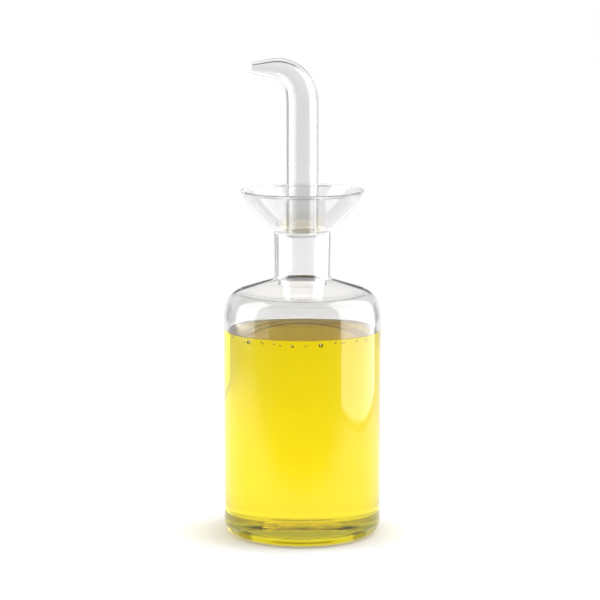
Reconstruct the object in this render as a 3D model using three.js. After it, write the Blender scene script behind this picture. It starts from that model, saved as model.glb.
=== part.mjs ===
// Glass oil cruet: a blown bottle with a drip-catching funnel at its neck, a hollow stopper whose spout
// is drawn out and bent to one side, and the oil inside. Millimetres, +Z up. The origin is the centre of
// the bottle's base, and the spout points along -X.

import * as THREE from 'three';
import { mergeVertices } from 'three/addons/utils/BufferGeometryUtils.js';

// Bottle body
const BODY_RADIUS = 33;
const BODY_WALL = 1.6;
const BASE_THICKNESS = 2.6;
const HEEL_RADIUS = 5.2;

// Shoulder: two arcs, a wide one off the wall and a tighter one, run into a shallow cone up to the neck
const SHOULDER_START = 91.2;
const SHOULDER_LOWER_RADIUS = 21.8;
const SHOULDER_LOWER_TURN = 21.5;
const SHOULDER_UPPER_RADIUS = 7.9;
const SHOULDER_SLOPE = 16.9;

// Neck: slightly wider at its top, with a wall of its own
const NECK_FOOT_RADIUS = 11.95;
const NECK_TOP_RADIUS = 12.25;
const NECK_WALL = 1.0;
const NECK_FOOT_FILLET = 1.6;
const NECK_TOP = 127.2;

// Funnel: a shallow bowl that runs out of the neck and ends in a fire-polished lip
const FUNNEL_FILLET = 2.5;
const FUNNEL_START_ANGLE = 40;
const FUNNEL_END_ANGLE = 62.8;
const FUNNEL_LENGTH = 20.35;
const FUNNEL_WALL = 1.2;

// Stopper plug, measured from the flat ring on its top
const STOPPER_SEAT = 127.95;
const PLUG_LENGTH = 23.15;
const PLUG_TOP_RADIUS = 10.95;
const PLUG_BOTTOM_RADIUS = 10.45;
const PLUG_WALL = 1.05;
const PLUG_EDGE_RADIUS = 0.9;
const PLUG_INNER_CORNER = 0.4;

// Spout: a tube that flares at its foot, then thins out along a bend to a small mouth. The bend starts
// gently and then tightens.
const TUBE_RADIUS = 6.85;
const TUBE_WALL = 1.0;
const TUBE_FOOT_FILLET = 1.2;
const TAPER_START = 54.6;
const TAPER_POWER = 1.4;
const BEND_START = 53.5;
const BENDS = [
  { radius: 23.9, turn: 15, steps: 2 },
  { radius: 11.95, turn: 74.5, steps: 11 },
];
const MOUTH_RUN = 8.9;
const MOUTH_RADIUS = 2.27;
const MOUTH_WALL = 0.72;
const MOUTH_SLANT = 6;

// Oil
const OIL_LEVEL = 86.5;
const OIL_GAP = 0.3;

// Fineness of the solids
const BOTTLE_SIDES = 48;
const STOPPER_SIDES = 32;

const radians = THREE.MathUtils.degToRad;
const mix = THREE.MathUtils.lerp;

// Points on an arc about a centre, from one angle to another in degrees, both ends included.
// radiusAt gives the radius for a share of the way, so an arc may also thicken along its course.
function arc(centre, radiusAt, from, to, steps) {
  const points = [];
  for (let i = 0; i <= steps; i += 1) {
    const share = i / steps;
    const angle = radians(mix(from, to, share));
    const radius = radiusAt(share);
    points.push(new THREE.Vector2(
      centre.x + radius * Math.cos(angle),
      centre.y + radius * Math.sin(angle),
    ));
  }
  return points;
}

// Centres of the shoulder's two arcs and of its fillet into the neck, which both wall faces share
function shoulderCentres() {
  const lower = new THREE.Vector2(BODY_RADIUS - SHOULDER_LOWER_RADIUS, SHOULDER_START);
  const step = SHOULDER_LOWER_RADIUS - SHOULDER_UPPER_RADIUS;
  const turn = radians(SHOULDER_LOWER_TURN);
  const upper = new THREE.Vector2(
    lower.x + step * Math.cos(turn),
    lower.y + step * Math.sin(turn),
  );
  const slope = radians(SHOULDER_SLOPE);
  const coneHeight = upper.y + SHOULDER_UPPER_RADIUS / Math.cos(slope);
  const footX = NECK_FOOT_RADIUS + NECK_FOOT_FILLET;
  const foot = new THREE.Vector2(
    footX,
    coneHeight - (footX - upper.x) * Math.tan(slope) + NECK_FOOT_FILLET / Math.cos(slope),
  );
  return { lower, upper, foot };
}

// Centre of the funnel's bowl arc, whose radius follows from its length and turn
function funnelBowl() {
  const radius = FUNNEL_LENGTH / radians(FUNNEL_END_ANGLE - FUNNEL_START_ANGLE);
  const fillet = new THREE.Vector2(NECK_TOP_RADIUS + FUNNEL_FILLET, NECK_TOP);
  const reach = FUNNEL_FILLET + radius;
  const start = radians(FUNNEL_START_ANGLE + 90);
  const centre = new THREE.Vector2(
    fillet.x + reach * Math.cos(start),
    fillet.y + reach * Math.sin(start),
  );
  return { radius, fillet, centre };
}

// One face of the bottle's wall from the shoulder to the lip: the outside with no inset, and the
// inside with each stretch set in by its wall
function wallFace(bodyInset, neckInset, funnelInset) {
  const { lower, upper, foot } = shoulderCentres();
  const bowl = funnelBowl();
  const same = (radius) => () => radius;
  return [
    ...arc(lower, same(SHOULDER_LOWER_RADIUS - bodyInset), 0, SHOULDER_LOWER_TURN, 3),
    ...arc(upper, same(SHOULDER_UPPER_RADIUS - bodyInset),
      SHOULDER_LOWER_TURN, 90 - SHOULDER_SLOPE, 5).slice(1),
    ...arc(foot, same(NECK_FOOT_FILLET + neckInset), 270 - SHOULDER_SLOPE, 180, 4),
    ...arc(bowl.fillet, (share) => FUNNEL_FILLET + mix(neckInset, funnelInset, share),
      180, 90 + FUNNEL_START_ANGLE, 4),
    ...arc(bowl.centre, same(bowl.radius - funnelInset),
      FUNNEL_START_ANGLE - 90, FUNNEL_END_ANGLE - 90, 7).slice(1),
  ];
}

// Section of the bottle: up the outside from the middle of its base, round the lip and down the inside
function bottleProfile() {
  const outside = wallFace(0, 0, 0);
  const inside = wallFace(BODY_WALL, NECK_WALL, FUNNEL_WALL).reverse();
  const lipFoot = outside[outside.length - 1];
  const lipCentre = lipFoot.clone().add(inside[0]).multiplyScalar(0.5);
  const lip = arc(lipCentre, () => FUNNEL_WALL / 2, FUNNEL_END_ANGLE - 90, FUNNEL_END_ANGLE + 90, 5);
  const heelX = BODY_RADIUS - HEEL_RADIUS;
  const innerHeel = HEEL_RADIUS - BODY_WALL;
  const outerHeelCentre = new THREE.Vector2(heelX, HEEL_RADIUS);
  const innerHeelCentre = new THREE.Vector2(heelX, BASE_THICKNESS + innerHeel);
  return [
    new THREE.Vector2(0, 0),
    ...arc(outerHeelCentre, () => HEEL_RADIUS, -90, 0, 5),
    ...outside,
    ...lip.slice(1, -1),
    ...inside,
    ...arc(innerHeelCentre, () => innerHeel, 0, -90, 4),
    new THREE.Vector2(0, BASE_THICKNESS),
  ];
}

// Radius of the spout's outside at a height above the plug's top, measured along the tube
function spoutRadius(height) {
  const end = spoutLength();
  const share = THREE.MathUtils.clamp((height - TAPER_START) / (end - TAPER_START), 0, 1);
  return mix(TUBE_RADIUS, MOUTH_RADIUS, share ** TAPER_POWER);
}

function spoutWall(height) {
  const share = THREE.MathUtils.clamp((height - TAPER_START) / (spoutLength() - TAPER_START), 0, 1);
  return mix(TUBE_WALL, MOUTH_WALL, share);
}

function bendLength(bend) {
  return bend.radius * radians(bend.turn);
}

function spoutLength() {
  return BENDS.reduce((sum, bend) => sum + bendLength(bend), BEND_START) + MOUTH_RUN;
}

// Heights along the tube at which its taper and bends need a ring
function spoutStations() {
  const heights = [BEND_START];
  for (const bend of BENDS) {
    const start = heights[heights.length - 1];
    for (let i = 1; i <= bend.steps; i += 1) {
      heights.push(start + bendLength(bend) * (i / bend.steps));
    }
  }
  heights.push(spoutLength() - MOUTH_RUN / 2);
  return heights;
}

// Where the bent tube's centreline has got to at a length along it: its place, and its lean from upright
function centreline(length) {
  let x = 0;
  let z = Math.min(length, BEND_START);
  let lean = 0;
  let left = Math.max(length - BEND_START, 0);
  for (const bend of BENDS) {
    const part = Math.min(left, bendLength(bend));
    const next = lean + part / bend.radius;
    x += bend.radius * (Math.cos(next) - Math.cos(lean));
    z += bend.radius * (Math.sin(next) - Math.sin(lean));
    lean = next;
    left -= part;
  }
  return { x: x - left * Math.sin(lean), z: z + left * Math.cos(lean), lean };
}

// Section of the stopper before its spout is bent, with heights counted from the plug's top ring. It
// closes on itself: up the outside, round the mouth, and down the bore to the plug's open end.
function stopperProfile() {
  const plugLip = PLUG_WALL / 2;
  const lipCentre = new THREE.Vector2(PLUG_BOTTOM_RADIUS - plugLip, plugLip - PLUG_LENGTH);
  const edge = new THREE.Vector2(PLUG_TOP_RADIUS - PLUG_EDGE_RADIUS, -PLUG_EDGE_RADIUS);
  const foot = new THREE.Vector2(TUBE_RADIUS + TUBE_FOOT_FILLET, TUBE_FOOT_FILLET);
  const cornerX = PLUG_TOP_RADIUS - PLUG_WALL - PLUG_INNER_CORNER;
  const corner = new THREE.Vector2(cornerX, -PLUG_WALL - PLUG_INNER_CORNER);
  const end = spoutLength();
  const mouthLip = MOUTH_WALL / 2;
  const mouthCentre = new THREE.Vector2(MOUTH_RADIUS - mouthLip, end - mouthLip);
  const outside = spoutStations().map((h) => new THREE.Vector2(spoutRadius(h), h));
  const bore = spoutStations().reverse().map((h) => new THREE.Vector2(spoutRadius(h) - spoutWall(h), h));
  const points = [
    ...arc(lipCentre, () => plugLip, -180, 0, 5),
    ...arc(edge, () => PLUG_EDGE_RADIUS, 0, 90, 3),
    ...arc(foot, () => TUBE_FOOT_FILLET, 270, 180, 4),
    ...outside,
    ...arc(mouthCentre, () => mouthLip, 0, 180, 4),
    ...bore,
    ...arc(foot, (share) => TUBE_FOOT_FILLET + mix(TUBE_WALL, PLUG_WALL, share), 180, 270, 4),
    ...arc(corner, () => PLUG_INNER_CORNER, 90, 0, 2),
  ];
  points.push(points[0].clone());
  return points;
}

// Bends the straight spout over towards -X, ring by ring along its centreline, and slants its mouth
function bendSpout(geometry) {
  const position = geometry.attributes.position;
  const mouthStart = spoutLength() - MOUTH_RUN;
  const slant = Math.tan(radians(MOUTH_SLANT));
  for (let i = 0; i < position.count; i += 1) {
    const across = position.getX(i);
    const height = position.getZ(i);
    if (height > BEND_START) {
      const share = Math.max(height - mouthStart, 0) / MOUTH_RUN;
      const place = centreline(height - across * slant * share);
      position.setX(i, place.x + across * Math.cos(place.lean));
      position.setZ(i, place.z + across * Math.sin(place.lean));
    }
  }
}

// Section of the oil: the bottle's inside up to the oil's level, a gap clear of the glass all round
function oilProfile() {
  const radius = BODY_RADIUS - BODY_WALL - OIL_GAP;
  const heel = HEEL_RADIUS - BODY_WALL - OIL_GAP;
  const floor = BASE_THICKNESS + OIL_GAP;
  const heelCentre = new THREE.Vector2(radius - heel, floor + heel);
  return [
    new THREE.Vector2(0, floor),
    ...arc(heelCentre, () => heel, -90, 0, 4),
    new THREE.Vector2(radius, OIL_LEVEL),
    new THREE.Vector2(0, OIL_LEVEL),
  ];
}

// A round closed body about the Z axis from its section
function turned(profile, sides) {
  const lathe = new THREE.LatheGeometry(profile, sides);
  lathe.deleteAttribute('normal');
  lathe.deleteAttribute('uv');
  return mergeVertices(lathe.rotateX(Math.PI / 2), 1e-4);
}

const clearGlass = { color: 0xf4f7f5, roughness: 0.03, metalness: 0, transparent: true, opacity: 0.3 };

function makeBottle() {
  const geometry = turned(bottleProfile(), BOTTLE_SIDES);
  geometry.computeVertexNormals();
  const mesh = new THREE.Mesh(geometry, new THREE.MeshStandardMaterial(clearGlass));
  mesh.name = 'glass_bottle';
  return mesh;
}

function makeStopper() {
  const geometry = turned(stopperProfile(), STOPPER_SIDES);
  bendSpout(geometry);
  geometry.computeVertexNormals();
  const mesh = new THREE.Mesh(geometry, new THREE.MeshStandardMaterial(clearGlass));
  mesh.name = 'spout_stopper';
  mesh.position.z = STOPPER_SEAT;
  return mesh;
}

function makeOil() {
  const geometry = turned(oilProfile(), BOTTLE_SIDES);
  geometry.computeVertexNormals();
  const yellowOil = { color: 0xffec0a, roughness: 0.05, metalness: 0, transparent: true, opacity: 0.85 };
  const mesh = new THREE.Mesh(geometry, new THREE.MeshStandardMaterial(yellowOil));
  mesh.name = 'oil_fill';
  return mesh;
}

const cruet = new THREE.Group();
cruet.name = 'oil_cruet';
cruet.add(makeBottle(), makeStopper(), makeOil());

export default cruet;
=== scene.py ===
"""Glass oil cruet: a lamp-blown bottle with a drip funnel, a stopper with a bent spout, and yellow oil.

The file is laid out as an add-on. Run as a script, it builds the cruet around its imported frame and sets
it in a small white studio. Everything is in metres, with +Z up and the spout along -X.
"""

import math

import bpy
from bpy.props import FloatProperty, FloatVectorProperty, IntProperty, PointerProperty, StringProperty
from mathutils import Matrix, Vector


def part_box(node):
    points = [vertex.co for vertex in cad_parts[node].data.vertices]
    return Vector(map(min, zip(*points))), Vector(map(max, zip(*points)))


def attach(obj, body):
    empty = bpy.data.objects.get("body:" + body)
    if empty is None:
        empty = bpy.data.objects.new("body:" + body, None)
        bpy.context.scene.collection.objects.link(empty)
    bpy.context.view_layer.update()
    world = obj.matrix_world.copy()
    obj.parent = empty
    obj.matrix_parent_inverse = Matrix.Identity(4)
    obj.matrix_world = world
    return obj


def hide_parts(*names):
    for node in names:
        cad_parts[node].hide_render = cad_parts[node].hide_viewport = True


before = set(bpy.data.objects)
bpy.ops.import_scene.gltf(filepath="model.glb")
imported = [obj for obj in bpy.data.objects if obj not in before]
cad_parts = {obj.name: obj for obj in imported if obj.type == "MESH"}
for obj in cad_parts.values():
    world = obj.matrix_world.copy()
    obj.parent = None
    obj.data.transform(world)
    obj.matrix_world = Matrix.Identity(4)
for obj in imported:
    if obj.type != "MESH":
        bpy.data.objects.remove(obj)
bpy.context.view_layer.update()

bl_info = {
    "name": "Glass oil cruet",
    "version": (1, 0, 0),
    "blender": (4, 5, 0),
    "location": "3D View > Sidebar > Cruet",
    "description": "Builds a glass oil cruet with its oil, its bubbles and a white studio",
    "category": "Add Mesh",
}

MM = 0.001
NODE_SPACING = 190


def length(name, millimetres, description):
    """A length property, given in millimetres and kept in metres."""
    return FloatProperty(
        name=name, description=description, default=millimetres * MM, unit="LENGTH", precision=5
    )


def angle(name, degrees, description):
    """An angle property, given in degrees and kept in radians."""
    return FloatProperty(name=name, description=description, default=math.radians(degrees), subtype="ANGLE")


def hex_colour(name, default, description):
    """A colour property, as an sRGB hex value."""
    return StringProperty(name=name, description=description, default=default)


class BottleSizes(bpy.types.PropertyGroup):
    """Sizes of the blown bottle, from its base to the lip of its funnel."""

    body_radius: length("Body radius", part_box("glass_bottle")[1].x / MM, "Outside of the body")
    body_wall: length("Body wall", 1.6, "Thickness of the body's glass")
    base_thickness: length("Base thickness", 2.6, "Thickness of the flat base")
    heel_radius: length("Heel radius", 5.2, "Rounding between the base and the body")
    shoulder_start: length("Shoulder start", 91.2, "Height where the straight body ends")
    lower_radius: length("Lower shoulder radius", 21.8, "Wide arc off the body")
    lower_turn: angle("Lower shoulder turn", 21.5, "Turn of the wide arc")
    upper_radius: length("Upper shoulder radius", 7.9, "Tighter arc above the wide one")
    slope: angle("Shoulder slope", 16.9, "Slope of the cone that runs up to the neck")
    neck_foot_radius: length("Neck foot radius", 11.95, "Outside of the neck at its foot")
    neck_top_radius: length("Neck top radius", 12.25, "Outside of the neck at its top")
    neck_wall: length("Neck wall", 1.0, "Thickness of the neck's glass")
    foot_fillet: length("Neck foot fillet", 1.6, "Rounding between the shoulder and the neck")
    neck_top: length("Neck top", 127.2, "Height where the funnel begins")
    funnel_fillet: length("Funnel fillet", 2.5, "Rounding between the neck and the funnel")
    funnel_start: angle("Funnel start angle", 40, "Slope of the funnel at its foot")
    funnel_end: angle("Funnel end angle", 62.8, "Slope of the funnel at its lip")
    funnel_length: length("Funnel length", 20.35, "Length of the funnel's side")
    funnel_wall: length("Funnel wall", 1.2, "Thickness of the funnel and its lip")
    sides: IntProperty(name="Sides", description="Facets round the bottle and the oil", default=144)


class StopperSizes(bpy.types.PropertyGroup):
    """Sizes of the hollow stopper and its spout, with heights from the ring on the plug's top."""

    seat: length("Seat", 127.95, "Height of the ring on the plug's top above the table")
    plug_length: length("Plug length", 23.15, "From the ring down to the plug's open end")
    plug_top: length("Plug top radius", 10.95, "Outside of the plug at its top")
    plug_bottom: length("Plug bottom radius", 10.45, "Outside of the plug at its open end")
    plug_wall: length("Plug wall", 1.05, "Thickness of the plug's glass")
    edge_radius: length("Edge radius", 0.9, "Rounding of the plug's top edge")
    inner_corner: length("Inner corner", 0.4, "Rounding inside the plug's top")
    tube_radius: length("Tube radius", 6.85, "Outside of the spout's tube")
    tube_wall: length("Tube wall", 1.0, "Thickness of the tube's glass")
    foot_fillet: length("Tube foot fillet", 1.2, "Flare where the tube meets the plug")
    taper_start: length("Taper start", 54.6, "Height where the tube begins to thin out")
    taper_power: FloatProperty(name="Taper power", description="Curve of the taper", default=1.4)
    bend_start: length("Bend start", 53.5, "Height where the bend begins")
    gentle_radius: length("Gentle bend radius", 23.9, "First part of the bend")
    gentle_turn: angle("Gentle bend turn", 15, "Turn of the bend's first part")
    tight_radius: length("Tight bend radius", 11.95, "Second part of the bend")
    tight_turn: angle("Tight bend turn", 74.5, "Turn of the bend's second part")
    mouth_run: length("Mouth run", 8.9, "Straight length after the bend")
    mouth_radius: length("Mouth radius", 2.27, "Outside of the mouth")
    mouth_wall: length("Mouth wall", 0.72, "Thickness of the glass at the mouth")
    mouth_slant: angle("Mouth slant", 6, "Slant of the cut at the mouth")
    sides: IntProperty(name="Sides", description="Facets round the stopper", default=96)


class OilSizes(bpy.types.PropertyGroup):
    """Level of the oil, its skin and swell, how it climbs the glass, and how strongly it takes light."""

    level: length("Level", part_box("oil_fill")[1].z / MM, "Height of the oil's surface")
    reach: length("Reach", 0.05, "How far the oil reaches into the glass, so that no air gap shows")
    skin: length("Skin", 0.05, "Thickness of the surface skin, which bends the light")
    swell_width: length("Swell width", 14, "Width of the very slight swell on the oil")
    swell_depth: length("Swell depth", 0.001, "Depth of the swell")
    climb: length("Climb", 0.5, "Height that the oil climbs at the glass")
    climb_width: length("Climb width", 0.7, "Width over which the climb dies away")
    density: FloatProperty(name="Density", description="Strength of the oil's colour, per metre", default=105)
    colour: FloatVectorProperty(
        name="Colour", description="Share of red, green and blue light that the oil lets through",
        default=(0.995, 0.961, 0.0), size=3, subtype="COLOR", min=0, max=1,
    )


class BubbleSizes(bpy.types.PropertyGroup):
    """Places, sizes and colours of the small air bubbles just under the oil's surface, with painted shade on
    their rims.
    """

    gap: length("Gap", 0.08, "Oil between the glass and the bubbles seen singly")
    from_wall: length("From wall", 0.6, "Distance of the scattered bubbles' centres from the glass")
    growth: FloatProperty(name="Growth", description="Size of the bubbles seen singly", default=1.45)
    count: IntProperty(name="Count", description="Number of bubbles scattered round the back", default=34)
    smallest: length("Smallest", 0.35, "Smallest diameter of the scattered bubbles")
    largest: length("Largest", 1.0, "Largest diameter of the scattered bubbles")
    shallow: length("Shallow", 0.2, "Least depth of the scattered bubbles' tops")
    deep: length("Deep", 1.2, "Greatest depth of the scattered bubbles' tops")
    detail: IntProperty(name="Detail", description="Subdivisions of a bubble", default=3)
    middle: hex_colour("Middle", "#FFFFFF", "Colour of a bubble's middle")
    # Painted shade: the dark colour of a bubble's rim.
    rim: hex_colour("Rim", "#0A0802", "Colour of a bubble's rim")
    rim_shade_blend: FloatProperty(name="Rim blend", description="How far the rim's colour reaches", default=0.42)
    seed: IntProperty(name="Seed", description="Seed of the scattered bubbles", default=4)


class GlassFinish(bpy.types.PropertyGroup):
    """The glass's tint by height, with painted shade on the shoulder and the funnel and painted light on the
    neck and the plug, its ripples, its index and the painted light at its rounded edges, for the light that
    they pipe.
    """

    tint: hex_colour("Tint", "#F2F2F2", "Colour that the glass gives to light passing through a piece")
    # Painted shade: the shoulder and the funnel are given darker grey glass, so that they come out darker.
    # Painted light: the neck and the plug are given white glass, from neck_light_start to neck_light_end, so
    # that they come out lighter.
    shoulder_painted_shade: hex_colour("Shoulder tint", "#E9E9E9", "The same for the shoulder, above the oil")
    shoulder_start: length("Shoulder tint start", 92, "Height where the shoulder's tint begins")
    neck_painted_light: hex_colour("Neck tint", "#FFFFFF", "The same for the thin glass of the neck and the plug")
    neck_light_start: length("Neck tint start", 102.5, "Height where the neck's clearer glass begins")
    funnel_painted_shade: hex_colour("Funnel tint", "#E9E9E9", "The same for the funnel")
    neck_light_end: length("Neck tint end", 128.5, "Height where the neck's clearer glass ends")
    ripple_width: length("Ripple width", 9, "Width of the slow ripples in the glass")
    ripple_depth: length("Ripple depth", 0.002, "Depth of the ripples")
    index: FloatProperty(name="Index", description="Refractive index of the glass and the oil", default=1.47)
    # Painted light: the share of a clear shader mixed in at the rounded edges, standing in for the light that
    # they pipe round inside themselves.
    painted_piped_light: FloatProperty(name="Piped light", description="Light that an edge pipes on", default=0.42)


class StudioSettings(bpy.types.PropertyGroup):
    """The camera, the floor, the soft boxes and the room round them. The floor's painted light under the base
    and painted shade round it are shares of its own glow."""

    focal_length: FloatProperty(name="Focal length", description="Lens, in millimetres", default=174)
    camera_place: FloatVectorProperty(
        name="Camera place", description="Where the camera stands", size=3, subtype="TRANSLATION",
        default=(-0.97 * MM, -1203.0 * MM, 282.4 * MM),
    )
    camera_pitch: angle("Camera pitch", 8.661, "How far the camera looks down")
    floor_radius: length("Floor radius", 1500, "Radius of the round floor")
    floor_gap: length("Floor gap", 0.1, "Air between the floor and the base")
    floor_glow: FloatProperty(name="Floor glow", description="Light of the floor itself", default=0.45)
    # Painted light: the floor's glow is raised under the base, so that light comes up into the oil.
    under_end: length("Under end", 27.2, "Radius under the base that the oil's light reaches")
    under_light: FloatProperty(name="Under light", description="The floor's light there", default=3.6)
    # Painted shade: the floor's glow is lowered round the base, on top of the real shade that the cruet
    # casts.
    shade_start: length("Shade start", 28.4, "Radius where the floor is in the base's shade")
    shade_end: length("Shade end", 62, "Radius where the floor gives its full light")
    shade_light: FloatProperty(name="Shade light", description="Its light in the shade", default=0.2)
    grey_start: length("Grey start", 98, "Distance in front of the cruet where the floor begins to darken")
    grey_end: length("Grey end", 200, "Distance where the floor is at its darkest")
    grey_share: FloatProperty(name="Grey share", description="Lightness of the darkest floor", default=0.22)
    floor_colour: hex_colour("Floor colour", "#BEBEBE", "Colour of the floor")
    rim_glow: FloatProperty(name="Rim glow", description="Light of the floor at its rim", default=0.48)
    gap_light: FloatProperty(name="Gap light", description="Light of the dark gap behind", default=0.18)
    side_gap_light: FloatProperty(name="Side gap light", description="Light of the side gaps", default=0.38)
    front_light: FloatProperty(name="Front light", description="Light of the camera's side", default=0.17)
    box_light: FloatProperty(name="Soft box light", description="Brightness of the soft boxes", default=4.3)


class CruetSettings(bpy.types.PropertyGroup):
    """All settings of the cruet."""

    bottle: PointerProperty(type=BottleSizes)
    stopper: PointerProperty(type=StopperSizes)
    oil: PointerProperty(type=OilSizes)
    bubbles: PointerProperty(type=BubbleSizes)
    glass: PointerProperty(type=GlassFinish)
    studio: PointerProperty(type=StudioSettings)


def mix(low, high, share):
    """The number at a share of the way from low to high."""
    return low + (high - low) * share


def linear(value):
    """An sRGB hex value as linear red, green, blue and alpha."""
    channels = [int(value[i:i + 2], 16) / 255 for i in (1, 3, 5)]
    return (*[c / 12.92 if c <= 0.04045 else ((c + 0.055) / 1.055) ** 2.4 for c in channels], 1.0)


def add_node(tree, kind, inputs=None, **settings):
    """Adds a node. inputs gives its sockets values, or the sockets that feed them, by name or number."""
    node = tree.nodes.new(kind)
    node.location = (len(tree.nodes) * NODE_SPACING, 0)
    for name, value in settings.items():
        setattr(node, name, value)
    for name, value in (inputs or {}).items():
        if isinstance(value, bpy.types.NodeSocket):
            tree.links.new(value, node.inputs[name])
        else:
            node.inputs[name].default_value = value
    return node


def new_material(name):
    """An empty node material with its output node."""
    material = bpy.data.materials.new(name)
    material.use_nodes = True
    material.node_tree.nodes.clear()
    return material, material.node_tree, add_node(material.node_tree, "ShaderNodeOutputMaterial")


# Longest steps of an arc, of a straight run and of the bent tube. A point nearer to the axis than the
# last number counts as on it.
ARC_STEP = math.radians(6)
ARC_LENGTH = 1.2 * MM
LONGEST = 1.5 * MM
BEND_STEP = 0.5 * MM
ROUNDING = 1e-6
ON_AXIS = 1e-9

# The oil's climb at the glass is drawn over this many of its widths, in this many steps.
CLIMB_REACH = 4
CLIMB_STEPS = 28


def arc(centre, radius_at, start, end):
    """Points (radius, height) on an arc. radius_at gives the arc's radius for a share of the way."""
    turn = abs(end - start)
    steps = math.ceil(max(turn / ARC_STEP, turn * radius_at(0.5) / ARC_LENGTH, 2))
    points = []
    for i in range(steps + 1):
        a = mix(start, end, i / steps)
        r = radius_at(i / steps)
        points.append(Vector((centre.x + r * math.cos(a), centre.y + r * math.sin(a))))
    return points


def dense(points):
    """The same outline with its straight runs split, so that its shading stays true."""
    result = [points[0]]
    for a, b in zip(points, points[1:]):
        steps = math.ceil((b - a).length / LONGEST - ROUNDING)
        result += [a.lerp(b, i / steps) for i in range(1, steps + 1)] if steps else []
    return result


def turned(name, section, sides, closed=False):
    """A mesh object of a section turned about Z. A section runs up its outside, so its faces point out;
    it ends on the axis at both ends, or closes on itself."""
    rings, verts, faces = [], [], []
    for point in section:
        if point.x < ON_AXIS:
            rings.append([len(verts)] * sides)
            verts.append((0, 0, point.y))
        else:
            rings.append([len(verts) + i for i in range(sides)])
            for i in range(sides):
                a = math.tau * i / sides
                verts.append((point.x * math.cos(a), point.x * math.sin(a), point.y))
    pairs = list(zip(rings, rings[1:])) + ([(rings[-1], rings[0])] if closed else [])
    for low, high in pairs:
        for i in range(sides):
            j = (i + 1) % sides
            corners = [low[i], low[j], high[j], high[i]]
            faces.append(list(dict.fromkeys(corners)))
    mesh = bpy.data.meshes.new(name)
    mesh.from_pydata(verts, [], faces)
    mesh.shade_smooth()
    obj = bpy.data.objects.new(name, mesh)
    bpy.context.scene.collection.objects.link(obj)
    return obj


def wall_face(b, body_inset, neck_inset, funnel_inset):
    """One face of the bottle's wall from shoulder to lip: the outside with no inset, or the inside."""
    quarter = math.pi / 2
    lower = Vector((b.body_radius - b.lower_radius, b.shoulder_start))
    step = b.lower_radius - b.upper_radius
    upper = lower + step * Vector((math.cos(b.lower_turn), math.sin(b.lower_turn)))
    cone = upper.y + b.upper_radius / math.cos(b.slope)
    foot_x = b.neck_foot_radius + b.foot_fillet
    drop = (foot_x - upper.x) * math.tan(b.slope)
    foot = Vector((foot_x, cone - drop + b.foot_fillet / math.cos(b.slope)))
    bowl_radius = b.funnel_length / (b.funnel_end - b.funnel_start)
    fillet = Vector((b.neck_top_radius + b.funnel_fillet, b.neck_top))
    lean = b.funnel_start + quarter
    bowl = fillet + (b.funnel_fillet + bowl_radius) * Vector((math.cos(lean), math.sin(lean)))
    bowl_turn = (b.funnel_start - quarter, b.funnel_end - quarter)
    return [
        *arc(lower, lambda s: b.lower_radius - body_inset, 0, b.lower_turn),
        *arc(upper, lambda s: b.upper_radius - body_inset, b.lower_turn, quarter - b.slope)[1:],
        *arc(foot, lambda s: b.foot_fillet + neck_inset, 3 * quarter - b.slope, 2 * quarter),
        *arc(fillet, lambda s: b.funnel_fillet + mix(neck_inset, funnel_inset, s), 2 * quarter, lean),
        *arc(bowl, lambda s: bowl_radius - funnel_inset, *bowl_turn)[1:],
    ]


def bottle_section(b, wet_height):
    """The bottle's section, and the number of its ring where the oil's edge meets the inner wall."""
    outside = wall_face(b, 0, 0, 0)
    inside = wall_face(b, b.body_wall, b.neck_wall, b.funnel_wall)[::-1]
    lip = (outside[-1] + inside[0]) / 2
    quarter = math.pi / 2
    heel_x = b.body_radius - b.heel_radius
    inner_heel = b.heel_radius - b.body_wall
    outer = [
        Vector((0, 0)),
        *arc(Vector((heel_x, b.heel_radius)), lambda s: b.heel_radius, -quarter, 0),
        *outside,
        *arc(lip, lambda s: b.funnel_wall / 2, b.funnel_end - quarter, b.funnel_end + quarter)[1:-1],
        *inside,
        Vector((b.body_radius - b.body_wall, wet_height)),
    ]
    inner = [
        outer[-1],
        *arc(Vector((heel_x, b.base_thickness + inner_heel)), lambda s: inner_heel, 0, -quarter),
        Vector((0, b.base_thickness)),
    ]
    dry = dense(outer)
    return dry + dense(inner)[1:], len(dry) - 1


def spout_bends(s):
    """The bend's two parts, each with its radius and turn."""
    return [(s.gentle_radius, s.gentle_turn), (s.tight_radius, s.tight_turn)]


def spout_length(s):
    """Length of the tube along its middle line, from the ring on the plug's top."""
    return s.bend_start + sum(radius * turn for radius, turn in spout_bends(s)) + s.mouth_run


def taper(s, height):
    """How far the tube has thinned out at a length along it, from 0 to 1."""
    return min(max((height - s.taper_start) / (spout_length(s) - s.taper_start), 0), 1)


def spout_radius(s, height):
    """Outside of the tube at a length along it."""
    return mix(s.tube_radius, s.mouth_radius, taper(s, height) ** s.taper_power)


def spout_wall(s, height):
    """Thickness of the tube's glass at a length along it."""
    return mix(s.tube_wall, s.mouth_wall, taper(s, height))


def centreline(s, height):
    """Where the bent tube's middle has got to at a length along it: its place and its lean."""
    x, z, lean = 0, min(height, s.bend_start), 0
    left = max(height - s.bend_start, 0)
    for radius, turn in spout_bends(s):
        part = min(left, radius * turn)
        onward = lean + part / radius
        x += radius * (math.cos(onward) - math.cos(lean))
        z += radius * (math.sin(onward) - math.sin(lean))
        lean = onward
        left -= part
    return x - left * math.sin(lean), z + left * math.cos(lean), lean


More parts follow.
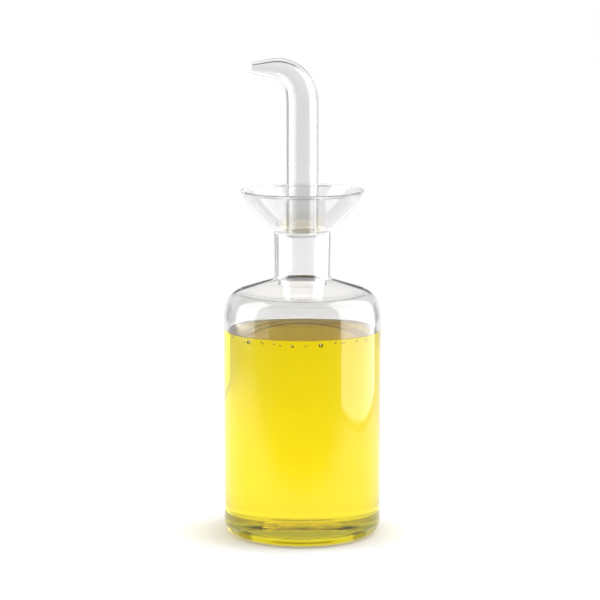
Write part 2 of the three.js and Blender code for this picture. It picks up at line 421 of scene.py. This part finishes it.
def stopper_section(s):
    """The stopper's section before its spout is bent, closed on itself, up its outside and down its bore."""
    quarter = math.pi / 2
    plug_lip = s.plug_wall / 2
    lip = Vector((s.plug_bottom - plug_lip, plug_lip - s.plug_length))
    edge = Vector((s.plug_top - s.edge_radius, -s.edge_radius))
    foot = Vector((s.tube_radius + s.foot_fillet, s.foot_fillet))
    corner = Vector((s.plug_top - s.plug_wall - s.inner_corner, -s.plug_wall - s.inner_corner))
    end = spout_length(s)
    mouth = Vector((s.mouth_radius - s.mouth_wall / 2, end - s.mouth_wall / 2))
    steps = math.ceil((end - s.bend_start) / BEND_STEP)
    heights = [mix(s.bend_start, end - s.mouth_wall / 2, i / steps) for i in range(steps)]
    section = [
        *arc(lip, lambda t: plug_lip, -2 * quarter, 0),
        *arc(edge, lambda t: s.edge_radius, 0, quarter),
        *arc(foot, lambda t: s.foot_fillet, 3 * quarter, 2 * quarter),
        *[Vector((spout_radius(s, h), h)) for h in heights],
        *arc(mouth, lambda t: s.mouth_wall / 2, 0, 2 * quarter),
        *[Vector((spout_radius(s, h) - spout_wall(s, h), h)) for h in heights[::-1]],
        *arc(foot, lambda t: s.foot_fillet + mix(s.tube_wall, s.plug_wall, t), 2 * quarter, 3 * quarter),
        *arc(corner, lambda t: s.inner_corner, quarter, 0),
    ]
    return dense([*section, section[0]])[:-1]


def bend_spout(s, mesh):
    """Bends the straight tube over towards -X along its middle line, slants its mouth and lifts it."""
    mouth_start = spout_length(s) - s.mouth_run
    for vertex in mesh.vertices:
        x, y, z = vertex.co
        if z > s.bend_start:
            share = max(z - mouth_start, 0) / s.mouth_run
            along = z - x * math.tan(s.mouth_slant) * share
            place_x, place_z, lean = centreline(s, along)
            x, z = place_x + x * math.cos(lean), place_z + x * math.sin(lean)
        vertex.co = (x, y, z + s.seat)


def oil_height(o, wall, radius):
    """Height of the oil's surface at a radius: level, but for its climb at the glass."""
    return o.level + o.climb * math.exp(-(wall - radius) / o.climb_width)


def surface_line(b, o, reach, lift):
    """The oil's surface from the glass in to the axis."""
    wall = b.body_radius - b.body_wall
    near = CLIMB_REACH * o.climb_width
    steps = range(CLIMB_STEPS + 1)
    radii = [wall + reach, *[wall - near * i / CLIMB_STEPS for i in steps], 0]
    return [Vector((r, oil_height(o, wall, min(r, wall)) + lift)) for r in radii]


def oil_section(b, o):
    """The oil's section, from the axis over the rounded heel and up the wall to its surface."""
    heel = b.heel_radius - b.body_wall + o.reach
    heel_centre = Vector((b.body_radius - b.heel_radius, b.base_thickness + b.heel_radius - b.body_wall))
    return dense([
        Vector((0, b.base_thickness - o.reach)),
        *arc(heel_centre, lambda s: heel, -math.pi / 2, 0),
        *surface_line(b, o, o.reach, -o.skin / 2),
    ])


def skin_section(b, o):
    """The section of the thin skin that makes the oil's free surface."""
    top = surface_line(b, o, o.reach / 2, 0)
    return dense([*[p - Vector((0, o.skin)) for p in top[::-1]], *top])


# Ripples are about eight times as long up the glass as across, one band of tint, painted shade or painted
# light runs into the next over this height, and a cast wavers this many times in a metre.
STREAK = 0.12
BAND_BLUR = 1 * MM
CAST_SCALE = 60.0


def ripple(tree, width, depth):
    """A faint unevenness of hot-worked glass, as a normal: streaks run up the piece along Z."""
    place = add_node(tree, "ShaderNodeTexCoord").outputs["Object"]
    stretch = add_node(tree, "ShaderNodeMapping", {"Vector": place, "Scale": (1, 1, STREAK)}).outputs[0]
    noise = add_node(
        tree, "ShaderNodeTexNoise",
        {"Vector": stretch, "Scale": 1 / width, "Detail": 1.0, "Roughness": 0.4},
    )
    return add_node(
        tree, "ShaderNodeBump", {"Height": noise.outputs[0], "Distance": depth, "Strength": 1.0}
    ).outputs[0]


def swell(tree, width, depth):
    """A very slight swell of a liquid at rest, as a normal."""
    place = add_node(tree, "ShaderNodeTexCoord").outputs["Object"]
    noise = add_node(tree, "ShaderNodeTexNoise", {"Vector": place, "Scale": 1 / width, "Detail": 0.0})
    return add_node(
        tree, "ShaderNodeBump", {"Height": noise.outputs[0], "Distance": depth, "Strength": 1.0}
    ).outputs[0]


def soft_change(tree, value, edges, before, after):
    """before where the value lies under both edges, after where it lies over them, and a soft change
    between the edges. Both can be numbers or sockets, so that changes can be put inside one another."""
    return add_node(
        tree, "ShaderNodeMapRange",
        {"Value": value, "From Min": edges[0], "From Max": edges[1], "To Min": before, "To Max": after},
        interpolation_type="SMOOTHSTEP",
    ).outputs[0]


def wavering_cast(tree, first, second):
    """A colour that wavers between two hex values."""
    place = add_node(tree, "ShaderNodeTexCoord").outputs["Object"]
    noise = add_node(tree, "ShaderNodeTexNoise", {"Vector": place, "Scale": CAST_SCALE, "Detail": 1.0})
    return add_node(
        tree, "ShaderNodeMix", {0: noise.outputs[0], 6: linear(first), 7: linear(second)}, data_type="RGBA"
    ).outputs[2]


def tint_and_painted_light_by_height(tree, tint_and_light_bands):
    """A colour that changes softly with height: the glass's tint, with bands of painted shade and painted
    light. tint_and_light_bands gives the height where each band starts, with its colour, from the lowest one
    up."""
    place = add_node(tree, "ShaderNodeTexCoord").outputs["Object"]
    height = add_node(tree, "ShaderNodeSeparateXYZ", {"Vector": place}).outputs["Z"]
    colour = linear(tint_and_light_bands[0][1])
    for start, tint in tint_and_light_bands[1:]:
        share = soft_change(tree, height, (start, start + BAND_BLUR), 0.0, 1.0)
        colour = add_node(
            tree, "ShaderNodeMix", {0: share, 6: colour, 7: linear(tint)}, data_type="RGBA"
        ).outputs[2]
    return colour


def glass_material(finish, tint_and_light_bands, painted_piped_light=0.0):
    """Borosilicate glass, blown and drawn at the lamp: clear and fire-polished, with a hint of grey and
    slow ripples that make the reflections waver a little. At a rounded edge a clear share is mixed in. It is
    painted light that stands in for the light that the edge pipes round inside itself until it comes out
    again somewhere, and painted_piped_light is that share.
    tint_and_light_bands gives the tint by height, with its painted shade and painted light, as in
    tint_and_painted_light_by_height."""
    name = "borosilicate glass, rounded edge, painted light" if painted_piped_light else "borosilicate glass, fire-polished"
    material, tree, output = new_material(name)
    shader = add_node(tree, "ShaderNodeBsdfPrincipled", {
        "Base Color": tint_and_painted_light_by_height(tree, tint_and_light_bands),
        "Roughness": 0.0,
        "IOR": finish.index,
        "Transmission Weight": 1.0,
        "Normal": ripple(tree, finish.ripple_width, finish.ripple_depth),
    })
    # Painted light: a clear share mixed in at a rounded edge.
    if painted_piped_light:
        clear = add_node(tree, "ShaderNodeBsdfTransparent", {"Color": linear("#FFFFFF")})
        shader = add_node(tree, "ShaderNodeMixShader", {0: painted_piped_light, 1: shader.outputs[0], 2: clear.outputs[0]})
    tree.links.new(shader.outputs[0], output.inputs["Surface"])
    return material


def seam_material(name):
    """A face between two things that bend light alike, such as oil and borosilicate glass, where the eye
    sees no seam. Its tint wavers a little."""
    material, tree, output = new_material(name)
    cast = wavering_cast(tree, "#F7F7F7", "#FCFCFC")
    shader = add_node(tree, "ShaderNodeBsdfTransparent", {"Color": cast})
    tree.links.new(shader.outputs[0], output.inputs["Surface"])
    return material


def oil_material(oil):
    """Refined cooking oil against glass: its colour is in its depth, as blue light dies away in a
    centimetre or two and green only slowly. It bends light as the glass does, so its faces have no
    index of their own, only a cast that wavers a little."""
    material, tree, output = new_material("refined cooking oil, body")
    volume = add_node(
        tree, "ShaderNodeVolumeAbsorption", {"Color": (*oil.colour, 1.0), "Density": oil.density}
    )
    shader = add_node(tree, "ShaderNodeBsdfPrincipled", {
        "Base Color": wavering_cast(tree, "#FFFDF4", "#FFFEFA"),
        "Roughness": 0.0,
        "IOR": 1.0,
        "Transmission Weight": 1.0,
    })
    tree.links.new(shader.outputs[0], output.inputs["Surface"])
    tree.links.new(volume.outputs[0], output.inputs["Volume"])
    return material


def skin_material(finish, oil):
    """The oil's free surface: a liquid mirror at a flat angle, with a very slight swell."""
    material, tree, output = new_material("refined cooking oil, free surface")
    shader = add_node(tree, "ShaderNodeBsdfPrincipled", {
        "Base Color": linear("#FFFFFF"),
        "Roughness": 0.0,
        "IOR": finish.index,
        "Transmission Weight": 1.0,
        "Normal": swell(tree, oil.swell_width, oil.swell_depth),
    })
    tree.links.new(shader.outputs[0], output.inputs["Surface"])
    return material


def bubble_material(finish, bubbles):
    """Air in oil: the index is the oil's turned over, so a bubble's rim mirrors what is round it. The rim
    also has painted shade: its colour darkens towards the edge, standing in for the light from behind that it
    turns away."""
    material, tree, output = new_material("air bubble in oil, painted rim shade")
    # Painted shade: the colour darkens from the middle to the rim.
    facing = add_node(tree, "ShaderNodeLayerWeight", {"Blend": bubbles.rim_shade_blend}).outputs["Facing"]
    colour = add_node(
        tree, "ShaderNodeMix", {0: facing, 6: linear(bubbles.middle), 7: linear(bubbles.rim)},
        data_type="RGBA",
    )
    shader = add_node(tree, "ShaderNodeBsdfGlass", {
        "Color": colour.outputs[2],
        "Roughness": 0.0,
        "IOR": 1 / finish.index,
    })
    tree.links.new(shader.outputs[0], output.inputs["Surface"])
    return material


# Each bubble seen singly: its angle from straight in front, in degrees, its depth under the oil's level
# and its diameter, in millimetres.
FRONT_BUBBLES = [
    (-89, 1.9, 0.62), (-64, 0.7, 0.62), (-48.5, 1.8, 0.41), (-44.5, 1.6, 1.24), (-32, 0.8, 0.62),
    (-30.5, 1.4, 0.5), (-21.5, 1.2, 0.54), (-16.5, 1.6, 0.58), (-7.5, 1.9, 0.91), (2.5, 1.8, 0.58),
    (14, 1.6, 1.24), (25.5, 0.8, 0.62), (30.5, 1.1, 0.5), (32.5, 1.2, 0.5), (45, 1.1, 0.58),
    (56, 1.2, 0.58), (76, 2.2, 0.54), (88, 2.3, 0.54),
]
BACK_START = math.radians(100)
BACK_TURN = math.radians(160)


def front_points(bubbles, wall, level):
    """The bubbles that can be seen one by one, as points with a diameter each."""
    places = []
    for degrees, depth, diameter in FRONT_BUBBLES:
        turn = math.radians(degrees)
        ring = wall - bubbles.gap - diameter * MM * bubbles.growth / 2
        places.append((ring * math.sin(turn), -ring * math.cos(turn), level - depth * MM))
    mesh = bpy.data.meshes.new("air_bubbles")
    mesh.from_pydata(places, [], [])
    sizes = mesh.attributes.new("diameter", "FLOAT", "POINT")
    for item, (_, _, diameter) in zip(sizes.data, FRONT_BUBBLES):
        item.value = diameter * MM * bubbles.growth
    return mesh


def bubble_tree(material):
    """Geometry Nodes: a ball at each point of the mesh, and more at places scattered round the back."""
    tree = bpy.data.node_groups.new("air bubbles", "GeometryNodeTree")
    interface = tree.interface
    interface.new_socket("Geometry", in_out="INPUT", socket_type="NodeSocketGeometry")
    interface.new_socket("Geometry", in_out="OUTPUT", socket_type="NodeSocketGeometry")
    for name in ("Ring", "Level", "Smallest", "Largest", "Shallow", "Deep"):
        interface.new_socket(name, in_out="INPUT", socket_type="NodeSocketFloat")
    for name in ("Count", "Detail", "Seed"):
        interface.new_socket(name, in_out="INPUT", socket_type="NodeSocketInt")
    given = add_node(tree, "NodeGroupInput").outputs
    line = add_node(tree, "GeometryNodePoints", {"Count": given["Count"]})

    def chance(low, high, step):
        """A random number for each point, between low and high."""
        seed = add_node(tree, "ShaderNodeMath", {0: given["Seed"], 1: step}, operation="ADD").outputs[0]
        values = {"Seed": seed, 2: low, 3: high}
        return add_node(tree, "FunctionNodeRandomValue", values, data_type="FLOAT").outputs[1]

    turn = chance(BACK_START - math.pi / 2, BACK_START + BACK_TURN - math.pi / 2, 0)
    diameter = chance(given["Smallest"], given["Largest"], 1)
    top = chance(given["Shallow"], given["Deep"], 2)
    cosine = add_node(tree, "ShaderNodeMath", {0: turn}, operation="COSINE").outputs[0]
    sine = add_node(tree, "ShaderNodeMath", {0: turn}, operation="SINE").outputs[0]
    x = add_node(tree, "ShaderNodeMath", {0: cosine, 1: given["Ring"]}, operation="MULTIPLY").outputs[0]
    y = add_node(tree, "ShaderNodeMath", {0: sine, 1: given["Ring"]}, operation="MULTIPLY").outputs[0]
    sunk = add_node(tree, "ShaderNodeMath", {0: given["Level"], 1: top}, operation="SUBTRACT").outputs[0]
    z = add_node(
        tree, "ShaderNodeMath", {0: diameter, 1: -0.5, 2: sunk}, operation="MULTIPLY_ADD"
    ).outputs[0]
    place = add_node(tree, "ShaderNodeCombineXYZ", {"X": x, "Y": y, "Z": z}).outputs[0]
    moved = add_node(tree, "GeometryNodeSetPosition", {"Geometry": line.outputs[0], "Position": place})
    named = add_node(
        tree, "GeometryNodeStoreNamedAttribute",
        {"Geometry": moved.outputs[0], "Name": "diameter", "Value": diameter},
        data_type="FLOAT", domain="POINT",
    )
    seen = add_node(tree, "GeometryNodeMeshToPoints", {"Mesh": given["Geometry"]})
    every = add_node(tree, "GeometryNodeJoinGeometry")
    tree.links.new(seen.outputs[0], every.inputs[0])
    tree.links.new(named.outputs[0], every.inputs[0])
    ball = add_node(tree, "GeometryNodeMeshIcoSphere", {"Radius": 0.5, "Subdivisions": given["Detail"]})
    size = add_node(tree, "GeometryNodeInputNamedAttribute", {"Name": "diameter"}, data_type="FLOAT")
    balls = add_node(
        tree, "GeometryNodeInstanceOnPoints",
        {"Points": every.outputs[0], "Instance": ball.outputs[0], "Scale": size.outputs[0]},
    )
    real = add_node(tree, "GeometryNodeRealizeInstances", {"Geometry": balls.outputs[0]})
    smooth = add_node(tree, "GeometryNodeSetShadeSmooth", {"Geometry": real.outputs[0]})
    coated = add_node(
        tree, "GeometryNodeSetMaterial", {"Geometry": smooth.outputs[0], "Material": material}
    )
    output = add_node(tree, "NodeGroupOutput")
    tree.links.new(coated.outputs[0], output.inputs[0])
    return tree


def plain_mesh(obj):
    """Turns an object's evaluated geometry into its own mesh and takes its modifiers off."""
    graph = bpy.context.evaluated_depsgraph_get()
    mesh = bpy.data.meshes.new_from_object(obj.evaluated_get(graph))
    obj.modifiers.clear()
    obj.data = mesh


def sheet_mesh(name, corners):
    """A flat four-cornered mesh with a UV map, for a soft box."""
    mesh = bpy.data.meshes.new(name)
    mesh.from_pydata(corners, [], [(0, 1, 2, 3)])
    uv = mesh.uv_layers.new(name="UVMap")
    for loop, place in zip(uv.data, ((0, 0), (1, 0), (1, 1), (0, 1))):
        loop.uv = place
    obj = bpy.data.objects.new(name, mesh)
    bpy.context.scene.collection.objects.link(obj)
    return obj


def soft_box(name, middle, width, height, facing, light, fades):
    """A diffused light panel: facing is the direction that it shines in, as an angle about Z, and fades
    gives its soft edges at its left, right, foot and top, as shares of its size. Its back stays dark."""
    across = Vector((-math.sin(facing), math.cos(facing), 0)) * width / 2
    up = Vector((0, 0, height / 2))
    middle = Vector(middle)
    low, high = middle - up, middle + up
    box = sheet_mesh(name, [low - across, low + across, high + across, high - across])
    material, tree, output = new_material("diffusion fabric, lit from behind")
    place = add_node(tree, "ShaderNodeTexCoord").outputs["UV"]
    parts = add_node(tree, "ShaderNodeSeparateXYZ", {"Vector": place})
    x, y = parts.outputs["X"], parts.outputs["Y"]
    left, right, foot, top = fades
    lit = soft_change(tree, y, (0.0, foot), 0.0, 1.0)
    lit = soft_change(tree, y, (1 - top, 1.0), lit, 0.0)
    lit = soft_change(tree, x, (0.0, left), 0.0, lit)
    lit = soft_change(tree, x, (1 - right, 1.0), lit, 0.0)
    behind = add_node(tree, "ShaderNodeNewGeometry").outputs["Backfacing"]
    lit = soft_change(tree, behind, (0.0, 1.0), lit, 0.0)
    strength = add_node(tree, "ShaderNodeMath", {0: lit, 1: light}, operation="MULTIPLY").outputs[0]
    lamp = add_node(tree, "ShaderNodeEmission", {"Color": linear("#FFFFFF"), "Strength": strength})
    clear = add_node(tree, "ShaderNodeBsdfTransparent")
    cloth = add_node(tree, "ShaderNodeMixShader", {0: lit, 1: clear.outputs[0], 2: lamp.outputs[0]})
    tree.links.new(cloth.outputs[0], output.inputs["Surface"])
    box.data.materials.append(material)
    box.visible_camera = False
    return box


def sideways_turn(tree, x, y):
    """The angle away from straight behind the cruet, to either side."""
    aside = add_node(tree, "ShaderNodeMath", {0: x}, operation="ABSOLUTE").outputs[0]
    return add_node(tree, "ShaderNodeMath", {0: aside, 1: y}, operation="ARCTAN2").outputs[0]


def in_radians(*degrees):
    """Angles given in degrees, as a list in radians."""
    return [math.radians(value) for value in degrees]


# Where the studio's light changes, as the edges of soft changes. A turn is an angle away from straight
# behind the cruet, to either side, and a rise is one above the horizon.
MIDDLE_ENDS = in_radians(12, 18)
SIDE_GAP_STARTS = in_radians(20, 42)
SIDE_GAP_ENDS = in_radians(56, 66)
FRONT_STARTS = in_radians(100, 125)
FRONT_DEEPENS = in_radians(118, 156)
SIDE_GAP_TOP = in_radians(3, 6)
SWEEP_TOP = in_radians(3.4, 5)
SWEEP_FADES = in_radians(3.4, 6)
BACK_GAP_TOP = in_radians(10.5, 12.5)
UPPER_WALL = in_radians(30, 70)
FRONT_TOP = in_radians(3, 10)
SIDE_GAP_REACH = (450 * MM, 800 * MM)
RIM_REACH = (300 * MM, 1400 * MM)

# Shares and strengths of the light: the front's darkness beside the cruet and high up, and the wall low
# down and overhead.
FRONT_BESIDE = 0.65
FRONT_HIGH = 0.2
WALL_LIGHT = 0.9
CEILING_LIGHT = 1.4


def floor_material(studio):
    """White acrylic sheet, lit softly from below as well, which keeps its shadows light. It darkens in
    front, from just inside the picture's lower edge on, and far out behind on both sides, where the
    glass edges mirror it. Under the flat base its glow is raised, as painted light, and round the base it is
    lowered, as painted shade on top of the real shade that the cruet casts."""
    material, tree, output = new_material("white acrylic sheet, painted light and shade at the base")
    place = add_node(tree, "ShaderNodeTexCoord").outputs["Object"]
    parts = add_node(tree, "ShaderNodeSeparateXYZ", {"Vector": place})
    x, y = parts.outputs["X"], parts.outputs["Y"]
    turn = sideways_turn(tree, x, y)
    reach = add_node(tree, "ShaderNodeVectorMath", {0: place}, operation="LENGTH").outputs["Value"]
    half_grey = mix(1.0, studio.grey_share, FRONT_BESIDE)
    grey = soft_change(tree, turn, FRONT_DEEPENS, half_grey, studio.grey_share)
    front = soft_change(tree, y, (-studio.grey_end, -studio.grey_start), grey, 1.0)
    beside = soft_change(tree, turn, SIDE_GAP_STARTS, 1.0, studio.side_gap_light)
    beside = soft_change(tree, turn, SIDE_GAP_ENDS, beside, 1.0)
    beside = soft_change(tree, reach, SIDE_GAP_REACH, 1.0, beside)
    white = add_node(tree, "ShaderNodeMath", {0: front, 1: beside}, operation="MULTIPLY").outputs[0]
    glow = soft_change(tree, reach, RIM_REACH, studio.floor_glow, studio.rim_glow)
    # Painted light under the base and painted shade round it, in the glow.
    under = (studio.under_end, studio.shade_start)
    shade = soft_change(tree, reach, under, studio.under_light, studio.shade_light)
    shade = soft_change(tree, reach, (studio.shade_start, studio.shade_end), shade, 1.0)
    glow = add_node(tree, "ShaderNodeMath", {0: glow, 1: shade}, operation="MULTIPLY").outputs[0]
    glow = add_node(tree, "ShaderNodeMath", {0: glow, 1: white}, operation="MULTIPLY").outputs[0]
    colour = add_node(
        tree, "ShaderNodeVectorMath", {0: linear(studio.floor_colour)[:3], "Scale": white}, operation="SCALE"
    )
    shader = add_node(tree, "ShaderNodeBsdfPrincipled", {
        "Base Color": colour.outputs[0],
        "Roughness": 0.6,
        "Specular IOR Level": 0.0,
        "Emission Color": linear("#FFFFFF"),
        "Emission Strength": glow,
    })
    tree.links.new(shader.outputs[0], output.inputs["Surface"])
    return material


def room_world(studio):
    """The room. Behind the cruet a white sweep ends just above the horizon, with a dark gap and a lit
    wall over it. To both sides stand dark gaps, and the camera's side is dark."""
    world = bpy.data.worlds.new("studio room")
    world.use_nodes = True
    tree = world.node_tree
    tree.nodes.clear()
    place = add_node(tree, "ShaderNodeTexCoord").outputs["Generated"]
    parts = add_node(tree, "ShaderNodeSeparateXYZ", {"Vector": place})
    x, y, z = (parts.outputs[axis] for axis in "XYZ")
    turn = sideways_turn(tree, x, y)
    rise = add_node(tree, "ShaderNodeMath", {0: z}, operation="ARCSINE").outputs[0]
    gap = soft_change(tree, rise, SWEEP_TOP, 1.0, studio.gap_light)
    gap = soft_change(tree, rise, BACK_GAP_TOP, gap, 1.0)
    behind = soft_change(tree, turn, MIDDLE_ENDS, gap, 1.0)
    side_gap = soft_change(tree, rise, SIDE_GAP_TOP, studio.side_gap_light, behind)
    low = soft_change(tree, turn, SIDE_GAP_STARTS, behind, side_gap)
    low = soft_change(tree, turn, SIDE_GAP_ENDS, low, behind)
    upper = soft_change(tree, rise, UPPER_WALL, WALL_LIGHT, CEILING_LIGHT)
    upper = soft_change(tree, rise, SWEEP_FADES, 1.0, upper)
    lit = add_node(tree, "ShaderNodeMath", {0: low, 1: upper}, operation="MULTIPLY").outputs[0]
    across = soft_change(tree, turn, FRONT_DEEPENS, FRONT_BESIDE, 1.0)
    upward = soft_change(tree, rise, FRONT_TOP, 1.0, FRONT_HIGH)
    share = add_node(tree, "ShaderNodeMath", {0: across, 1: upward}, operation="MULTIPLY").outputs[0]
    front = add_node(
        tree, "ShaderNodeMix", {0: share, 2: lit, 3: studio.front_light}, data_type="FLOAT"
    ).outputs[0]
    strength = soft_change(tree, turn, FRONT_STARTS, lit, front)
    light = add_node(tree, "ShaderNodeBackground", {"Color": linear("#FFFFFF"), "Strength": strength})
    output = add_node(tree, "ShaderNodeOutputWorld")
    tree.links.new(light.outputs[0], output.inputs["Surface"])
    return world


# The camera's sensor in millimetres, how far it sees in metres, and the corners of the round floor.
SENSOR_WIDTH = 36
VIEW_REACH = 100
FLOOR_SIDES = 128

# The soft boxes: middle, width and height, and the shares over which their left, right, foot and top
# edges fade.
RIGHT_BOX = ((264 * MM, 11 * MM, 350 * MM), 406 * MM, 700 * MM)
RIGHT_FADES = (0.05, 0.05, 0.01, 0.1)
LEFT_BOX = ((-430 * MM, 15 * MM, 405 * MM), 330 * MM, 800 * MM)
LEFT_FADES = (0.05, 0.05, 0.03, 0.1)

# Heights of the zones whose edges get painted light for the light that they pipe, and the least upward slope
# of a face of the oil's surface.
LIP_HEIGHT = 1.2 * MM
RING_HEIGHT = 1.6 * MM
UPWARD = 0.2


class CRUET_OT_studio(bpy.types.Operator):
    """Set up the camera, the white floor, the soft boxes and the room"""

    bl_idname = "cruet.studio"
    bl_label = "Studio"

    def execute(self, context):
        studio = context.scene.cruet.studio
        camera = bpy.data.objects.new("camera", bpy.data.cameras.new("camera"))
        camera.data.lens = studio.focal_length
        camera.data.sensor_width = SENSOR_WIDTH
        camera.data.clip_end = VIEW_REACH
        camera.location = studio.camera_place
        camera.rotation_euler = (math.pi / 2 - studio.camera_pitch, 0, 0)
        context.scene.collection.objects.link(camera)
        context.scene.camera = camera
        context.scene.world = room_world(studio)
        context.scene.view_settings.view_transform = "Standard"
        turns = [math.tau * i / FLOOR_SIDES for i in range(FLOOR_SIDES)]
        radius = studio.floor_radius
        rim = [(radius * math.cos(a), radius * math.sin(a), -studio.floor_gap) for a in turns]
        mesh = bpy.data.meshes.new("floor")
        mesh.from_pydata(rim, [], [list(range(FLOOR_SIDES))])
        floor = bpy.data.objects.new("floor", mesh)
        floor.data.materials.append(floor_material(studio))
        context.scene.collection.objects.link(floor)
        right = soft_box("soft_box_right", *RIGHT_BOX, math.pi, studio.box_light, RIGHT_FADES)
        left = soft_box("soft_box_left", *LEFT_BOX, 0, studio.box_light, LEFT_FADES)
        return {"FINISHED"}


class CRUET_OT_bottle(bpy.types.Operator):
    """Build the blown glass bottle"""

    bl_idname = "cruet.bottle"
    bl_label = "Bottle"

    def execute(self, context):
        cruet = context.scene.cruet
        wet_height = cruet.oil.level + cruet.oil.climb
        section, wet_ring = bottle_section(cruet.bottle, wet_height)
        bottle = turned("glass_bottle_blown", section, cruet.bottle.sides)
        finish = cruet.glass
        # Painted shade on the shoulder and the funnel, and painted light on the neck, as darker and whiter
        # glass.
        tint_and_light_bands = [
            (0, finish.tint), (finish.shoulder_start, finish.shoulder_painted_shade),
            (finish.neck_light_start, finish.neck_painted_light), (finish.neck_light_end, finish.funnel_painted_shade),
        ]
        bottle.data.materials.append(glass_material(finish, tint_and_light_bands))
        bottle.data.materials.append(seam_material("borosilicate glass, wetted by oil"))
        bottle.data.materials.append(glass_material(finish, tint_and_light_bands, finish.painted_piped_light))
        first_wet = wet_ring * cruet.bottle.sides
        heel_start = cruet.bottle.body_radius - cruet.bottle.heel_radius
        lip_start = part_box("glass_bottle")[1].z - LIP_HEIGHT
        # The heel and the lip take the rounded-edge glass, with its painted light.
        for face in bottle.data.polygons:
            on_heel = face.center.z < cruet.bottle.heel_radius and face.center.xy.length > heel_start
            if face.index >= first_wet:
                face.material_index = 1
            elif on_heel or face.center.z > lip_start:
                face.material_index = 2
        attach(bottle, "root")
        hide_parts("glass_bottle")
        return {"FINISHED"}


class CRUET_OT_stopper(bpy.types.Operator):
    """Build the hollow stopper with its bent spout"""

    bl_idname = "cruet.stopper"
    bl_label = "Stopper"

    def execute(self, context):
        cruet = context.scene.cruet
        section = stopper_section(cruet.stopper)
        stopper = turned("spout_stopper_drawn", section, cruet.stopper.sides, closed=True)
        bend_spout(cruet.stopper, stopper.data)
        finish = cruet.glass
        # Painted light on the plug and the tube's foot, as white glass, up to neck_light_end.
        tint_and_light_bands = [(0, finish.neck_painted_light), (finish.neck_light_end, finish.tint)]
        stopper.data.materials.append(glass_material(finish, tint_and_light_bands))
        stopper.data.materials.append(glass_material(finish, tint_and_light_bands, finish.painted_piped_light))
        seat = cruet.stopper.seat
        lip_end = seat - cruet.stopper.plug_length + LIP_HEIGHT
        # The plug's open end and the ring on its top take the rounded-edge glass, with its painted light.
        for face in stopper.data.polygons:
            if face.center.z < lip_end or abs(face.center.z - seat) < RING_HEIGHT:
                face.material_index = 1
        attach(stopper, "root")
        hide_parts("spout_stopper")
        return {"FINISHED"}


class CRUET_OT_oil(bpy.types.Operator):
    """Build the oil and its free surface"""

    bl_idname = "cruet.oil"
    bl_label = "Oil"

    def execute(self, context):
        cruet = context.scene.cruet
        body = turned("oil_body", oil_section(cruet.bottle, cruet.oil), cruet.bottle.sides)
        body.data.materials.append(oil_material(cruet.oil))
        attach(body, "root")
        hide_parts("oil_fill")
        skin = turned("oil_surface", skin_section(cruet.bottle, cruet.oil), cruet.bottle.sides)
        skin.data.materials.append(skin_material(cruet.glass, cruet.oil))
        skin.data.materials.append(seam_material("refined cooking oil, under its surface"))
        for face in skin.data.polygons:
            if face.normal.z < UPWARD:
                face.material_index = 1
        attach(skin, "root")
        return {"FINISHED"}


class CRUET_OT_bubbles(bpy.types.Operator):
    """Build the air bubbles under the oil's surface with Geometry Nodes"""

    bl_idname = "cruet.bubbles"
    bl_label = "Bubbles"

    def execute(self, context):
        cruet = context.scene.cruet
        sizes = cruet.bubbles
        wall = cruet.bottle.body_radius - cruet.bottle.body_wall
        mesh = front_points(sizes, wall, cruet.oil.level)
        bubbles = bpy.data.objects.new("air_bubbles", mesh)
        context.scene.collection.objects.link(bubbles)
        material = bubble_material(cruet.glass, sizes)
        modifier = bubbles.modifiers.new("bubbles", "NODES")
        modifier.node_group = bubble_tree(material)
        values = {
            "Ring": wall - sizes.from_wall, "Level": cruet.oil.level,
            "Smallest": sizes.smallest, "Largest": sizes.largest,
            "Shallow": sizes.shallow, "Deep": sizes.deep,
            "Count": sizes.count, "Detail": sizes.detail, "Seed": sizes.seed,
        }
        for item in modifier.node_group.interface.items_tree:
            if item.in_out == "INPUT" and item.name in values:
                modifier[item.identifier] = values[item.name]
        plain_mesh(bubbles)
        if not bubbles.data.polygons:
            raise RuntimeError("the bubbles have no faces")
        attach(bubbles, "root")
        return {"FINISHED"}


OPERATORS = [CRUET_OT_bottle, CRUET_OT_stopper, CRUET_OT_oil, CRUET_OT_bubbles, CRUET_OT_studio]


class CRUET_PT_panel(bpy.types.Panel):
    """Buttons that build the cruet piece by piece"""

    bl_label = "Glass oil cruet"
    bl_idname = "CRUET_PT_panel"
    bl_space_type = "VIEW_3D"
    bl_region_type = "UI"
    bl_category = "Cruet"

    def draw(self, context):
        for operator in OPERATORS:
            self.layout.operator(operator.bl_idname)


CLASSES = [
    BottleSizes, StopperSizes, OilSizes, BubbleSizes, GlassFinish, StudioSettings, CruetSettings,
    *OPERATORS, CRUET_PT_panel,
]


def register():
    for cls in CLASSES:
        bpy.utils.register_class(cls)
    bpy.types.Scene.cruet = PointerProperty(type=CruetSettings)


def unregister():
    del bpy.types.Scene.cruet
    for cls in reversed(CLASSES):
        bpy.utils.unregister_class(cls)


def main():
    register()
    bpy.ops.cruet.studio()
    bpy.ops.cruet.bottle()
    bpy.ops.cruet.stopper()
    bpy.ops.cruet.oil()
    bpy.ops.cruet.bubbles()


if __name__ == "__main__":
    main()
